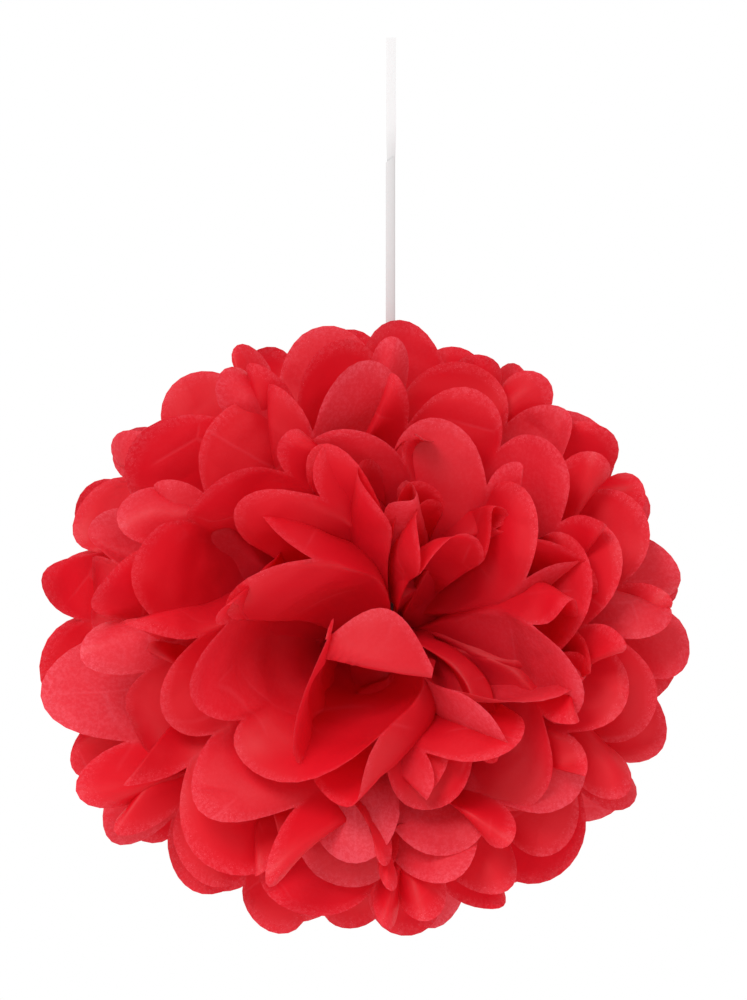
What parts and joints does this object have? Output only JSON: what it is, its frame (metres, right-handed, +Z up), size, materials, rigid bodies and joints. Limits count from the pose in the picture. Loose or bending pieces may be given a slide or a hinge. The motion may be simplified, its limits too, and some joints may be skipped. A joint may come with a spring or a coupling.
{
  "type": "tissue paper pom pom",
  "caption": "Round pleated tissue paper pom pom, tied at its middle with wire and hung from a narrow flat ribbon that it swings and turns on.",
  "frame": {"origin": "middle of the ribbon's cut top end, where the pom pom hangs", "axes": "+Z up along the hanging ribbon, -Y to the front along the ball's pole axis, +X to the right seen from the front"},
  "size_m": [0.3898, 0.3844, 0.5559],
  "materials": {
    "red_tissue": "satin",
    "tie_steel": "satin",
    "white_ribbon": "satin"
  },
  "bodies": {
    "hung_end": {"ribbon_pinned_end": "white_ribbon"},
    "top_bend": {"ribbon_top_bend": "white_ribbon"},
    "upper_ribbon": {"ribbon_upper": "white_ribbon"},
    "middle_ribbon": {"ribbon_middle": "white_ribbon", "ribbon_tail_upper": "white_ribbon"},
    "lower_bend": {"ribbon_lower_bend": "white_ribbon", "ribbon_tail_bend": "white_ribbon"},
    "ball": {"ribbon_lower": "white_ribbon", "ribbon_tail_lower": "white_ribbon", "ribbon_knot": "white_ribbon", "ribbon_loop": "white_ribbon", "tie_wire": "tie_steel", "tissue_sheet_front_1": "red_tissue", "tissue_sheet_front_2": "red_tissue", "tissue_sheet_front_3": "red_tissue", "tissue_sheet_front_4": "red_tissue", "tissue_sheet_front_5": "red_tissue", "tissue_sheet_back_1": "red_tissue", "tissue_sheet_back_2": "red_tissue", "tissue_sheet_back_3": "red_tissue", "tissue_sheet_back_4": "red_tissue", "tissue_sheet_back_5": "red_tissue"}
  },
  "joints": [
    {"name": "swing_front", "type": "hinge", "parent": "hung_end", "child": "top_bend", "pos_m": [0, 0, -0.008], "axis": [1, 0, 0], "range_deg": [-60, 60]},
    {"name": "swing_side", "type": "hinge", "parent": "top_bend", "child": "upper_ribbon", "pos_m": [0, 0, -0.02], "axis": [0, 1, 0], "range_deg": [-60, 60]},
    {"name": "ribbon_twist", "type": "hinge", "parent": "upper_ribbon", "child": "middle_ribbon", "pos_m": [0, 0, -0.06], "axis": [0, 0, 1], "range_deg": [-180, 180]},
    {"name": "ball_nod", "type": "hinge", "parent": "middle_ribbon", "child": "lower_bend", "pos_m": [0, 0, -0.172], "axis": [1, 0, 0], "range_deg": [-30, 30]},
    {"name": "ball_lean", "type": "hinge", "parent": "lower_bend", "child": "ball", "pos_m": [0, 0, -0.18], "axis": [0, 1, 0], "range_deg": [-30, 30]}
  ]
}
